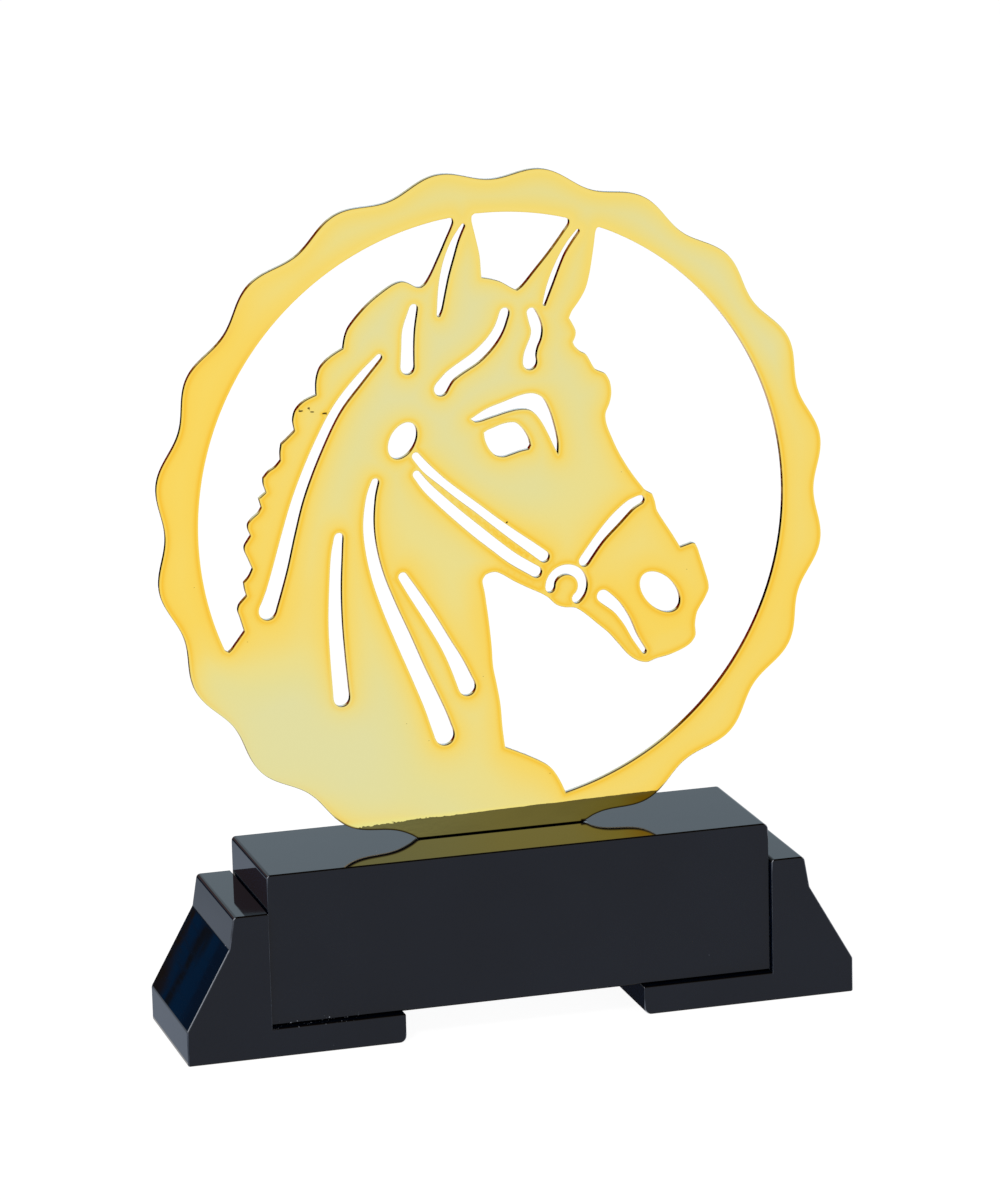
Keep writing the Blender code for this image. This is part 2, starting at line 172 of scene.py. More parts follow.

# The plate's foot: painted reflection shades from left to right, a painted dark reflection along its lower
# edge, painted shade by the slot
PLATE_FOOT_PAINTED_REFLECTIONS = [
    (0.15, (235, 229, 146)),
    (0.50, (253, 233, 122)),
    (0.72, (253, 232, 118)),
    (0.86, (255, 226, 88)),
    (0.93, (255, 196, 34)),
]
PLATE_FOOT_SPAN = (0.0612, 0.0590)
PLATE_FOOT_SHARE = 0.9
PLATE_FOOT_WIDTH = 0.1
LOWER_EDGE_PAINTED_REFLECTION = (112, 92, 40)
LOWER_EDGE_WIDTH = (0.00065, 0.00025)
LOWER_EDGE_SPAN = (0.0640, 0.0605)
SLOT_LINE_PAINTED_SHADE = (12, 9, 8)
SLOT_LINE_SPAN = (0.05404, 0.05386)

# The plating's faint smears, slow waves and polishing marks, with their heights in metres
SMEAR_STRETCH = (40.0, 1.0, 120.0)
SMEAR_TURN = (0.0, 0.35, 0.0)
SMEAR_SCALE = 6.0
SMEAR_SPAN = (0.35, 0.85, 0.008, 0.03)
WAVE_STRETCH = (0.6, 1.0, 1.0)
WAVE_SCALE = 130.0
WAVE_HEIGHT = 0.000028
POLISH_STRETCH = (1.0, 1.0, 1.6)
POLISH_SCALE = 620.0
POLISH_HEIGHT = 0.000011
POLISH_SPAN = (0.000, -0.036, 0.12, 1.0)

# How the plate leans at its foot: from which height, between which limits, and how steeply across its width
LEAN_LEVEL = 0.056
LEAN_LOWEST = -0.012
LEAN_HIGHEST = 0.014
LEAN_MIDDLE = 0.022
LEAN_STEEPNESS = 0.42
LEAN_LEFT = -0.030
LEAN_LEFT_BEND = -60.0

# The shares of the middle and the broad painted reflection shade by the distance from a cut, in millimetres
TO_MIDDLE = [(0.0, 1.0), (0.35, 0.75), (0.8, 0.0), (1.1, 0.3), (1.5, 0.65), (2.1, 0.95), (2.8, 1.0)]
TO_BROAD = [(0.0, 0.0), (1.3, 0.0), (2.0, 0.10), (3.0, 0.30), (4.2, 0.50), (5.5, 0.70), (7.0, 0.82),
            (9.0, 0.94), (12.0, 1.0)]
FADE_REACH = 12.0

# The painted reflection on a cut's wall by the way it faces, 0 degrees being left, 90 up, 180 right and -90
# down
WALL_PAINTED_REFLECTIONS = [
    (-180, (250, 214, 140)),
    (-110, (236, 190, 110)),
    (-60, (255, 224, 170)),
    (-12, (200, 160, 120)),
    (2, (34, 16, 12)),
    (14, (52, 18, 12)),
    (24, (120, 36, 16)),
    (36, (146, 66, 26)),
    (47, (190, 120, 52)),
    (57, (255, 224, 150)),
    (90, (255, 252, 240)),
    (180, (250, 214, 140)),
]

# The painted reflection tint that a wall takes where it is seen at a slant, by the way it faces
WALL_PAINTED_SLANT_TINTS = [
    (-60, (1.0, 1.0, 0.95)),
    (-12, (0.60, 0.52, 0.42)),
    (2, (0.06, 0.04, 0.03)),
    (14, (0.10, 0.04, 0.03)),
    (24, (0.26, 0.08, 0.04)),
    (40, (0.50, 0.28, 0.14)),
    (57, (1.0, 0.95, 0.80)),
    (90, (1.0, 1.0, 1.0)),
]

# The grain of the cut walls, and how far it and slow clouds shift their shade, in radians
GRAIN_STRETCH = (1.0, 0.2, 1.0)
GRAIN_SCALE = 500.0
GRAIN_SHIFT = 0.35
GRAIN_ROUGHNESS = (0.2, 0.8, 0.22, 0.12)
GRAIN_HEIGHT = 0.000006
WALL_CLOUD_SCALE = 55.0
WALL_CLOUD_SHIFT = 0.7

# The lacquer
LACQUER_SHADES = [
    (0.3, (0.0008, 0.0030, 0.0098, 1.0)),
    (0.7, (0.0020, 0.0048, 0.0128, 1.0)),
]
LACQUER_CLOUD_SCALE = 30.0
LACQUER_IOR = 1.30
# painted shade over the top edges, and where it lies
TOP_EDGE_PAINTED_SHADE = (0.0012, 0.0006, 0.0005, 1.0)
TOP_EDGE_SPAN = (0.10, 0.25)
# a painted highlight on the upright edges, where it lies, and the patches it is broken into
SIDE_EDGE_PAINTED_HIGHLIGHT = (84, 90, 102)
SIDE_EDGE_SPAN = (0.15, 0.40)
SIDE_EDGE_UPRIGHT = (0.35, 0.15)
HIGHLIGHT_BREAK_SCALE = 150.0
HIGHLIGHT_BREAK_SPAN = (0.3, 0.6, 0.35, 1.0)
# a painted glint at the corners, and where it lies
CORNER_PAINTED_GLINT = (170, 176, 186)
CORNER_SPAN = (0.10, 0.17)
STREAK_STRETCH = (30.0, 30.0, 400.0)
STREAK_SCALE = 2.0
STREAK_SPAN = (0.4, 0.8, 0.02, 0.06)
PEEL_SCALE = 90.0
PEEL_HEIGHT = 0.00001

# The dust on the lacquer: cells to a metre, least and greatest size, which cells have a speck, and where
DUST = [
    (230.0, 0.015, 0.050, 0.74, "everywhere"),
    (1500.0, 0.10, 0.40, 0.66, "groove"),
]
DUST_SHADE = (165, 172, 184)
DUST_SHARE = 0.9
DUST_ROUGHNESS = 0.6

# The groove under the left of the block, by its top, its bottom, its left and its right
GROOVE_TOP = (0.0108, 0.0092)
GROOVE_BOTTOM = (0.0079, 0.0084)
GROOVE_LEFT = (-0.0752, -0.0740)
GROOVE_RIGHT = (-0.045, -0.060)

# The floor and the light from all round
FLOOR_HALF = 9.0
FLOOR_SHADE = (0.35, 0.35, 0.35, 1.0)
FLOOR_ROUGHNESS = 0.9
FLOOR_GLOW = 0.94
WHITE = (1.0, 1.0, 1.0, 1.0)
BLACK = (0.0, 0.0, 0.0, 1.0)
BEHIND_LEFT = (0.645, 0.792, 0.900, 1.0)
BEHIND_RIGHT = (0.583, 0.718, 0.822, 1.0)
BEHIND_SPAN = (0.20, 0.32)
FRONT_TO_BEHIND = (0.0, 0.8)
OVERHEAD = (0.11, 0.085, 0.08, 1.0)
OVERHEAD_SPAN = (0.30, 0.55)
STUDIO_STRENGTH = 0.97

# The cards that the gloss mirrors, and how many times as far back as the block its shade reaches
SCREEN_SHADE = (0.30, 0.215, 0.230, 1.0)
SCREEN_ACROSS = (-0.25, -0.12)
SCREEN_DEPTH = 0.32
SCREEN_HEIGHT = (0.0, 0.15)
# the grey card is painted shade on the floor beside the left foot, seen only in the gloss
GREY_NEAR = (0.41, 0.47, 0.57, 1.0)
GREY_FAR = (0.37, 0.43, 0.52, 1.0)
GREY_SPAN = (0.150, 0.215)
GREY_ACROSS = (-0.30, -0.1005)
GREY_DEPTH = (-0.06, 0.31)
UNDER_BLOCK_SHADE = (0.03, 0.03, 0.035, 1.0)
UNDER_BLOCK_REACH = 3
CARD_LEVEL = 0.4 * MM

# The blue cloth on the screen: its lean, where its folds start, how wide they are, and their shades
CLOTH_LEAN = math.radians(29.6)
CLOTH_START = -0.2107
CLOTH_WIDTH = 0.0171
CLOTH_FOLDS = [
    (0.00, (0.014, 0.045, 0.120, 1.0)),
    (0.14, (0.008, 0.070, 0.210, 1.0)),
    (0.30, (0.008, 0.075, 0.225, 1.0)),
    (0.42, (0.025, 0.035, 0.055, 1.0)),
    (0.50, (0.025, 0.035, 0.055, 1.0)),
    (0.60, (0.008, 0.065, 0.200, 1.0)),
    (0.72, (0.008, 0.075, 0.220, 1.0)),
    (0.82, (0.050, 0.038, 0.036, 1.0)),
    (0.92, (0.050, 0.038, 0.036, 1.0)),
    (0.98, (0.025, 0.045, 0.085, 1.0)),
]

# How the cloth's folds waver, where it ends at the top, and how it darkens upwards
CLOTH_STRETCH = 10.0
CLOTH_NOISE_SCALE = 330.0
CLOTH_NOISE_SHIFT = 0.009
CLOTH_TOP = (0.0765, 0.0745)
CLOTH_SHADE_SPAN = (0.076, 0.046, 0.45, 1.0)
CLOTH_SHADE = (0.004, 0.02, 0.04, 1.0)

# The plinth
ROUND_WIDTH = 1.3 * MM
ROUND_SEGMENTS = 6
ARC_STEP = math.radians(15)
LEAST_ARC = 1.0 * MM
LEFT_END_ROUND = 1.2 * MM
RIGHT_END_ROUND = 1.8 * MM
BOTTOM_ROUND = 0.5 * MM
FACE_ROUND = 0.5 * MM
SEAM_ROUND = 0.12 * MM
SHOULDER_REACH = 80.0 * MM
SLOT_LIP = 1.2 * MM
SLOT_LENGTH = 48.0 * MM
SLOT_CLEARANCE = 0.3 * MM

# The right foot's profile as x, z, and the rounding of each corner on the left foot and on the right, in
# millimetres
FOOT = [
    (35.80, 0.0, 1.9, 2.3),
    (100.05, 0.0, 0.5, 0.5),
    (100.05, 10.3, 0.4, 0.4),
    (86.95, 33.4, 0.3, 0.3),
    (85.35, 42.8, 1.3, 1.5),
    (75.25, 42.8, 0.35, 1.2),
    (75.25, 8.6, 0.12, 0.12),
    (35.80, 8.6, 0.4, 0.4),
]


def link(name, data):
    """A new object round a mesh, a light or a camera, in the scene."""
    piece = bpy.data.objects.new(name, data)
    bpy.context.scene.collection.objects.link(piece)
    return piece


# Outlines of the plate, from its CAD node

def front_outlines(node):
    """The closed outlines of a flat node's front face, as arrays of (x, z) with the metal on their left."""
    mesh = node.data
    front = min(v.co.y for v in mesh.vertices)
    edges = set()
    for polygon in mesh.polygons:
        if polygon.normal.y > FRONT_FACING or abs(polygon.center.y - front) > SAME_PLACE:
            continue
        corners = [mesh.vertices[i].co for i in polygon.vertices]
        keys = [(round(corner.x, PLACE_DIGITS), round(corner.z, PLACE_DIGITS)) for corner in corners]
        edges.update(zip(keys, keys[1:] + keys[:1]))
    follow = {a: b for a, b in edges if (b, a) not in edges}
    outlines = []
    while follow:
        start = min(follow)
        loop = [start]
        after = follow.pop(start)
        while after != start:
            loop.append(after)
            after = follow.pop(after)
        outlines.append(np.array(loop))
    return outlines, front


def turns(points):
    """How far an outline turns at each of its points, in radians."""
    before = points - np.roll(points, 1, axis=0)
    after = np.roll(points, -1, axis=0) - points
    cross = before[:, 0] * after[:, 1] - before[:, 1] * after[:, 0]
    dot = (before * after).sum(axis=1)
    return np.arctan2(cross, dot)


def with_short_ends(points):
    """Splits each long straight run close to its ends, so that the curves beside it stay where they are."""
    lengths = np.linalg.norm(np.roll(points, -1, axis=0) - points, axis=1)
    count = len(points)
    result = []
    for i in range(count):
        here, after = points[i], points[(i + 1) % count]
        length, before_length, after_length = lengths[i], lengths[i - 1], lengths[(i + 1) % count]
        way = (after - here) / length
        result.append(here)
        if length > LONG_RUN * before_length:
            result.append(here + way * before_length)
        if length > LONG_RUN * after_length:
            result.append(after - way * after_length)
    return np.array(result)


def through(before, start, end, after, share):
    """A point on the centripetal Catmull-Rom curve from start to end."""
    t0 = 0.0
    t1 = t0 + math.sqrt(np.linalg.norm(start - before))
    t2 = t1 + math.sqrt(np.linalg.norm(end - start))
    t3 = t2 + math.sqrt(np.linalg.norm(after - end))
    t = t1 + (t2 - t1) * share
    a1 = (t1 - t) / (t1 - t0) * before + (t - t0) / (t1 - t0) * start
    a2 = (t2 - t) / (t2 - t1) * start + (t - t1) / (t2 - t1) * end
    a3 = (t3 - t) / (t3 - t2) * end + (t - t2) / (t3 - t2) * after
    b1 = (t2 - t) / (t2 - t0) * a1 + (t - t0) / (t2 - t0) * a2
    b2 = (t3 - t) / (t3 - t1) * a2 + (t - t1) / (t3 - t1) * a3
    return (t2 - t) / (t2 - t1) * b1 + (t - t1) / (t2 - t1) * b2


def fine_outline(points):
    """An outline with points every OUTLINE_STEP on smooth curves, and which of them are corners."""
    points = with_short_ends(points)
    corner = np.abs(turns(points)) > CORNER_TURN
    count = len(points)
    fine, corners = [], []
    for i in range(count):
        start, end = points[i], points[(i + 1) % count]
        before = 2 * start - end if corner[i] else points[i - 1]
        after = 2 * end - start if corner[(i + 1) % count] else points[(i + 2) % count]
        steps = max(1, round(np.linalg.norm(end - start) / OUTLINE_STEP))
        for step in range(steps):
            fine.append(through(before, start, end, after, step / steps))
            corners.append(bool(corner[i]) and step == 0)
    return np.array(fine), np.array(corners)


def inward(points):
    """The way into the metal at each point of an outline, lengthened at corners as a mitre is."""
    ahead = np.roll(points, -1, axis=0) - points
    ahead /= np.linalg.norm(ahead, axis=1)[:, None]
    normal = np.stack([-ahead[:, 1], ahead[:, 0]], axis=1)
    both = normal + np.roll(normal, 1, axis=0)
    middle = both / np.linalg.norm(both, axis=1)[:, None]
    stretch = 1 / np.maximum((middle * normal).sum(axis=1), 1 / MITER_LIMIT)
    return middle * stretch[:, None]


def inside(places, outlines):
    """Which places lie in the metal, by counting the outlines crossed on the way right."""
    crossings = np.zeros(len(places), dtype=int)
    for points in outlines:
        ends = np.roll(points, -1, axis=0)
        for start, end in zip(points, ends):
            if start[1] == end[1]:
                continue
            between = (places[:, 1] >= min(start[1], end[1])) & (places[:, 1] < max(start[1], end[1]))
            reach = start[0] + (places[between, 1] - start[1]) * (end[0] - start[0]) / (end[1] - start[1])
            crossings[np.flatnonzero(between)[reach > places[between, 0]]] += 1
    return crossings % 2 == 1


def grid_places(low, high):
    """A triangular grid of places, GRID_STEP apart."""
    row_step = GRID_STEP * math.sqrt(3) / 2
    rows = np.arange(low[1] + row_step, high[1], row_step)
    places = []
    for number, z in enumerate(rows):
        first = low[0] + GRID_STEP * (0.5 if number % 2 else 1.0)
        xs = np.arange(first, high[0], GRID_STEP)
        places.append(np.stack([xs, np.full(len(xs), z)], axis=1))
    return np.concatenate(places)


def mark_places(centre, half_length, half_width, lean, size):
    """A ring of places round a mark on the plate, scaled by size."""
    cos, sin = math.cos(lean), math.sin(lean)
    angles = [math.tau * step / MARK_POINTS for step in range(MARK_POINTS)]
    return [(
        centre[0] + size * (half_length * math.cos(a) * cos - half_width * math.sin(a) * sin),
        centre[1] + size * (half_length * math.cos(a) * sin + half_width * math.sin(a) * cos),
    ) for a in angles]


def with_marks(grid, reach):
    """The grid with finer points round each mark, and how dark each point is."""
    darkness = np.zeros(len(grid))
    for x, z, half_length, half_width, lean, dark in MARKS:
        centre = np.array([PLATE_CENTRE[0] + x * MM, PLATE_CENTRE[1] + z * MM])
        size = (half_length * MM, half_width * MM, math.radians(lean))
        gaps = np.linalg.norm(grid - centre, axis=1)
        away = gaps > (half_length * MARK_STRETCH + MARK_MARGIN) * MM
        near_reach = reach[np.argmin(gaps)]
        added = [tuple(centre)] + mark_places(centre, *size, MARK_CORE) + mark_places(centre, *size, 1.0)
        grid = np.concatenate([grid[away], added])
        reach = np.concatenate([reach[away], np.full(len(added), near_reach)])
        darkness = np.concatenate([darkness[away], [dark] * (1 + MARK_POINTS) + [0.0] * MARK_POINTS])
    return grid, reach, darkness


def plate_mesh(node):
    """The plate: flat front and back, small round edges and cut walls, as one closed mesh."""
    coarse, front = front_outlines(node)
    back = max(v.co.y for v in node.data.vertices)
    fine = [fine_outline(points) for points in coarse]
    outlines = [points for points, _ in fine]

    rim = np.concatenate(outlines)
    tree = KDTree(len(rim))
    for number, (x, z) in enumerate(rim):
        tree.insert((x, z, 0), number)
    tree.balance()

    grid = grid_places(rim.min(axis=0), rim.max(axis=0))
    grid = grid[inside(grid, outlines)]
    reach = np.array([tree.find((x, z, 0))[2] for x, z in grid])
    clear = reach > GRID_CLEARANCE
    grid, reach, darkness = with_marks(grid[clear], reach[clear])

    inset = [points + inward(points) * EDGE_ROUND for points in outlines]
    flat = np.concatenate(inset + [grid])
    borders = []
    first = 0
    for points in outlines:
        numbers = list(range(first, first + len(points)))
        borders += list(zip(numbers, numbers[1:] + numbers[:1]))
        first += len(points)
    border_count = first
    places, _, triangles, origins, _, _ = delaunay_2d_cdt(
        [Vector(p) for p in flat], borders, [], INSIDE_ONLY, MERGE_DISTANCE)
    if len(places) != len(flat) or any(origin != [i] for i, origin in enumerate(origins)):
        raise RuntimeError("the plate's outlines cross each other")
    triangles = np.array(triangles)
    triangles = triangles[inside(flat[triangles].mean(axis=1), inset)]

    # the front, then the round edges and walls ring by ring, then the back
    angles = [math.pi / 2 * step / EDGE_STEPS for step in range(1, EDGE_STEPS + 1)]
    sinks = [EDGE_ROUND * (1 - math.cos(a)) for a in angles]
    insets = [EDGE_ROUND * (1 - math.sin(a)) for a in angles]
    levels = [front + s for s in sinks] + [back - s for s in reversed(sinks)]
    insets = insets + insets[::-1]
    size = len(flat)
    vertices = [np.stack([flat[:, 0], np.full(size, front), flat[:, 1]], axis=1)]
    ways = np.concatenate([inward(points) for points in outlines])
    for level, depth in zip(levels, insets):
        ring = rim + ways * depth
        vertices.append(np.stack([ring[:, 0], np.full(border_count, level), ring[:, 1]], axis=1))
    vertices.append(np.stack([flat[:, 0], np.full(size, back), flat[:, 1]], axis=1))
    vertices = np.concatenate(vertices)
    back_start = size + border_count * len(levels)

    starts = [0] + [size + border_count * n for n in range(len(levels))] + [back_start]
    faces = [tuple(t) for t in triangles]
    faces += [tuple(back_start + i for i in reversed(t)) for t in triangles]
    cap_faces = len(faces)
    wall_faces = []
    for number, (upper, lower) in enumerate(zip(starts, starts[1:])):
        for a, b in borders:
            faces.append((upper + b, upper + a, lower + a, lower + b))
            wall_faces.append(number)
    mesh = bpy.data.meshes.new("gilded_plate")
    mesh.from_pydata([tuple(v) for v in vertices], [], faces)
    mesh.update()

    # how far each point lies from the nearest cut edge, which the plating's colour follows
    distance = np.zeros(len(vertices))
    distance[border_count:size] = reach
    distance[back_start + border_count:] = reach
    distance[:border_count] = EDGE_ROUND
    distance[back_start:back_start + border_count] = EDGE_ROUND
    attribute = mesh.attributes.new("edge_distance", "FLOAT", "POINT")
    attribute.data.foreach_set("value", distance.astype(np.float32))
    dark = np.zeros(len(vertices))
    dark[border_count:size] = darkness
    attribute = mesh.attributes.new("mark", "FLOAT", "POINT")
    attribute.data.foreach_set("value", dark.astype(np.float32))

    middle_ring = EDGE_STEPS
    material_numbers = np.zeros(len(faces), dtype=np.int32)
    smooth = np.zeros(len(faces), dtype=bool)
    for offset, number in enumerate(wall_faces):
        smooth[cap_faces + offset] = True
        if number == middle_ring:
            material_numbers[cap_faces + offset] = 1
    mesh.polygons.foreach_set("material_index", material_numbers)
    mesh.polygons.foreach_set("use_smooth", smooth)

    # sharp where the flat faces end and along the corners, so that nothing shades across them
    corner_flags = np.concatenate([flags for _, flags in fine])
    sharp = np.zeros(len(mesh.edges), dtype=bool)
    for edge in mesh.edges:
        a, b = edge.vertices
        both_front = a < border_count and b < border_count
        both_back = a >= back_start and b >= back_start and max(a, b) < back_start + border_count
        if both_front or both_back:
            sharp[edge.index] = True
            continue
        low, high = min(a, b), max(a, b)
        if size <= low and high < back_start and (high - low) == border_count:
            sharp[edge.index] = corner_flags[(low - size) % border_count]
    mesh.edges.foreach_set("use_edge_sharp", sharp)
    return mesh


# The plinth's pieces

def arcs(profile):
    """The places along a profile of (x, z, radius), each with the width its edge is still to be rounded by.

    Corners of at least LEAST_ARC are drawn as arcs.
    """
    places = []
    count = len(profile)
    for i, (x, z, radius) in enumerate(profile):
        corner = Vector((x, z))
        if radius < LEAST_ARC:
            places.append((corner, radius))
            continue
        to_before = (Vector(profile[i - 1][:2]) - corner).normalized()
        to_after = (Vector(profile[(i + 1) % count][:2]) - corner).normalized()
        half = to_before.angle(to_after) / 2
        centre = corner + (to_before + to_after).normalized() * (radius / math.sin(half))
        length = radius / math.tan(half)
        start = (corner + to_before * length - centre).normalized()
        end = (corner + to_after * length - centre).normalized()
        steps = math.ceil(start.angle(end) / ARC_STEP)
        places += [(centre + start.slerp(end, step / steps) * radius, 0.0) for step in range(steps + 1)]
    return places


def extruded(profile, front, back):
    """A bmesh with a profile, counter-clockwise seen from the front, between two depths.

    Its outlines are to be rounded, least where its upright sides meet another piece.
    """
    shape = bmesh.new()
    places = arcs(profile)
    count = len(places)
    near = [shape.verts.new((place.x, front, place.y)) for place, _ in places]
    far = [shape.verts.new((place.x, back, place.y)) for place, _ in places]
    shape.faces.new(near)
    shape.faces.new(list(reversed(far)))
    for i in range(count):
        j = (i + 1) % count
        shape.faces.new((near[j], near[i], far[i], far[j]))
    weights = shape.edges.layers.float.new("bevel_weight_edge")
    for i, (place, width) in enumerate(places):
        j = (i + 1) % count
        meets = abs(place.x - places[j][0].x) < SAME_PLACE and abs(place.x) < SHOULDER_REACH
        outline_round = SEAM_ROUND if meets else FACE_ROUND
        for row in (near, far):
            shape.edges.get((row[i], row[j]))[weights] = outline_round / ROUND_WIDTH
        shape.edges.get((near[i], far[i]))[weights] = width / ROUND_WIDTH
    return shape


def finished(name, shape):
    """A piece from a bmesh, with its edges rounded by their weights."""
    mesh = bpy.data.meshes.new(name)
    shape.to_mesh(mesh)
    shape.free()
    for polygon in mesh.polygons:
        polygon.use_smooth = True
    piece = link(name, mesh)
    bevel = piece.modifiers.new("round", "BEVEL")
    bevel.width = ROUND_WIDTH
    bevel.segments = ROUND_SEGMENTS
    bevel.limit_method = "WEIGHT"
    shading = piece.modifiers.new("shading", "WEIGHTED_NORMAL")
    shading.keep_sharp = True
    return piece


def block_shape(low, high, slot_low, slot_high):
    """The block, with the slot for the plate sunk in its top."""
    shape = extruded([
        (low.x, low.z, BOTTOM_ROUND),
        (high.x, low.z, BOTTOM_ROUND),
        (high.x, high.z, RIGHT_END_ROUND),
        (low.x, high.z, LEFT_END_ROUND),
    ], low.y, high.y)
    weights = shape.edges.layers.float["bevel_weight_edge"]
    top = max(shape.faces, key=lambda face: face.calc_center_median().z)
    outer = list(top.verts)
    shape.faces.remove(top)
    rim, bottom = [], []
    for corner in outer:
        x = slot_low[0] if corner.co.x < slot_low[0] else slot_high[0]
        y = slot_low[1] if corner.co.y < slot_low[1] else slot_high[1]
        rim.append(shape.verts.new((x, y, high.z)))
        bottom.append(shape.verts.new((x, y, slot_low[2])))
    for i in range(4):
        j = (i + 1) % 4
        shape.faces.new((outer[i], outer[j], rim[j], rim[i]))
        shape.faces.new((rim[i], rim[j], bottom[j], bottom[i]))
    shape.faces.new(bottom)
    for i in range(4):
        j = (i + 1) % 4
        shape.edges.get((rim[i], rim[j]))[weights] = SLOT_LIP / ROUND_WIDTH
        shape.edges.get((rim[i], bottom[i])).smooth = False
        shape.edges.get((bottom[i], bottom[j])).smooth = False
    return shape


# Materials

# How deep a patch reaches, which is far beyond the plate
ANY_DEPTH = 1000.0

# The colour sockets of Blender's Mix node
MIX_A = 6
MIX_B = 7
MIX_RESULT = 2


class Nodes:
    """Makes a material's nodes, and links them as they are made."""

    def __init__(self, name):
        self.material = bpy.data.materials.new(name)
        self.material.use_nodes = True
        self.tree = self.material.node_tree
        self.shader = self.tree.nodes["Principled BSDF"]

    def add(self, kind, inputs=None, **settings):
        node = self.tree.nodes.new(kind)
        for key, value in settings.items():
            setattr(node, key, value)
        for key, value in (inputs or {}).items():
            self.put(node.inputs[key], value)
        return node

    def put(self, socket, value):
        if isinstance(value, bpy.types.NodeSocket):
            self.tree.links.new(value, socket)
        else:
            socket.default_value = value

    def math(self, operation, a, b=0.0, c=0.0, clamp=False):
        node = self.add("ShaderNodeMath", {0: a, 1: b, 2: c}, operation=operation, use_clamp=clamp)
        return node.outputs[0]

    def span(self, value, low, high, start=0.0, end=1.0):
        """A smooth change from start to end as value goes from low to high."""
        node = self.add("ShaderNodeMapRange", {0: value, 1: low, 2: high, 3: start, 4: end},
                        interpolation_type="SMOOTHSTEP")
        return node.outputs[0]

    def noise(self, place, scale, detail, roughness=0.5):
        node = self.add("ShaderNodeTexNoise", {"Vector": place, "Scale": scale, "Detail": detail,
                                               "Roughness": roughness})
        return node.outputs["Fac"]

    def stretched(self, place, scale, turn=(0.0, 0.0, 0.0)):
        node = self.add("ShaderNodeMapping", {"Vector": place, "Scale": scale, "Rotation": turn})
        return node.outputs[0]

    def mixed(self, share, a, b):
        """A colour between a and b."""
        node = self.add("ShaderNodeMix", data_type="RGBA")
        self.put(node.inputs[0], share)
        self.put(node.inputs[MIX_A], a)
        self.put(node.inputs[MIX_B], b)
        return node.outputs[MIX_RESULT]

    def ramp(self, value, stops):
        node = self.add("ShaderNodeValToRGB", {0: value})
        elements = node.color_ramp.elements
        while len(elements) < len(stops):
            elements.new(0.5)
        for element, (place, colour) in zip(elements, stops):
            element.position = place
            element.color = colour
        return node.outputs[0]

    def patch(self, place, centre, radii):
        """1 at a place (x, z) on the plate, fading to 0 at the radii."""
        middle = (centre[0], 0.0, centre[1])
        size = (radii[0], ANY_DEPTH, radii[1])
        spot = self.add("ShaderNodeMapping", {"Vector": place, "Location": middle, "Scale": size},
                        vector_type="TEXTURE")
        far = self.add("ShaderNodeVectorMath", {0: spot.outputs[0]}, operation="LENGTH").outputs["Value"]
        return self.span(far, 1.0, 0.0)

    def bump(self, height, distance):
        node = self.add("ShaderNodeBump", {"Strength": 1.0, "Distance": distance, "Height": height})
        return node.outputs[0]


class WorldNodes(Nodes):
    """The same for the world's light."""

    def __init__(self, world):
        world.use_nodes = True
        self.tree = world.node_tree
        self.shader = self.tree.nodes["Background"]


def colour(red, green, blue):
    """A colour of the screen's scale of 0 to 255, as the light that the nodes use."""
    light = [c / 255 for c in (red, green, blue)]
    light = [c / 12.92 if c <= 0.04045 else ((c + 0.055) / 1.055) ** 2.4 for c in light]
    return (*light, 1.0)


def plated(red, green, blue):
    """A gold's colour where it mirrors the pale floor, which is a little brighter than white."""
    light = colour(red, green, blue)[:3]
    return (*[part * glare for part, glare in zip(light, FLOOR_GLARE)], 1.0)


def plated_stops(shades):
    """A ramp's stops from places and golds."""
    return [(place, plated(*shade)) for place, shade in shades]


def painted_reflection_paleness(n, place):
    """How pale the plating's painted reflection is, from 0 to 1: palest between the ears, less so at the
    sides, and patchy.
    """
    x, _, z = n.add("ShaderNodeSeparateXYZ", {0: place}).outputs
    sides = n.math("ADD", n.span(x, *LEFT_SPAN), n.span(x, *RIGHT_SPAN))
    sides = n.math("MULTIPLY", sides, n.math("SUBTRACT", 1.0, n.span(z, *EARS_SPAN)))
    pale = n.math("SUBTRACT", PALE_MIDDLE, sides)
    for centre, radii, gain in PAINTED_REFLECTION_PATCHES:
        pale = n.math("MULTIPLY_ADD", n.patch(place, centre, radii), gain, pale)
    pale = n.math("ADD", pale, n.span(n.noise(place, CLOUD_SCALE, 2.0), *CLOUD_SPAN))
    return n.math("SUBTRACT", pale, n.span(z, *CROWN_SPAN), clamp=True)


def plating_relief(n, place):
    """The height of the sheet's slow waves and polishing marks, and of its lean at the foot."""
    x, _, z = n.add("ShaderNodeSeparateXYZ", {0: place}).outputs
    slow = n.math("MULTIPLY", n.noise(n.stretched(place, WAVE_STRETCH), WAVE_SCALE, 1.0), WAVE_HEIGHT)
    marks = n.noise(n.stretched(place, POLISH_STRETCH), POLISH_SCALE, 1.0, 0.4)
    fine = n.math("MULTIPLY", n.math("MULTIPLY", marks, n.span(x, *POLISH_SPAN)), POLISH_HEIGHT)
    over_foot = n.math("SUBTRACT", z, LEAN_LEVEL)
    over_foot = n.add("ShaderNodeClamp", {0: over_foot, 1: LEAN_LOWEST, 2: LEAN_HIGHEST}).outputs[0]
    at_left = n.math("MAXIMUM", n.math("SUBTRACT", LEAN_LEFT, x), 0.0)
    slope = n.math("MULTIPLY", n.math("ADD", x, LEAN_MIDDLE), LEAN_STEEPNESS)
    slope = n.math("MULTIPLY_ADD", n.math("MULTIPLY", at_left, at_left), LEAN_LEFT_BEND, slope)
    return n.math("ADD", n.math("ADD", slow, fine), n.math("MULTIPLY", over_foot, slope))


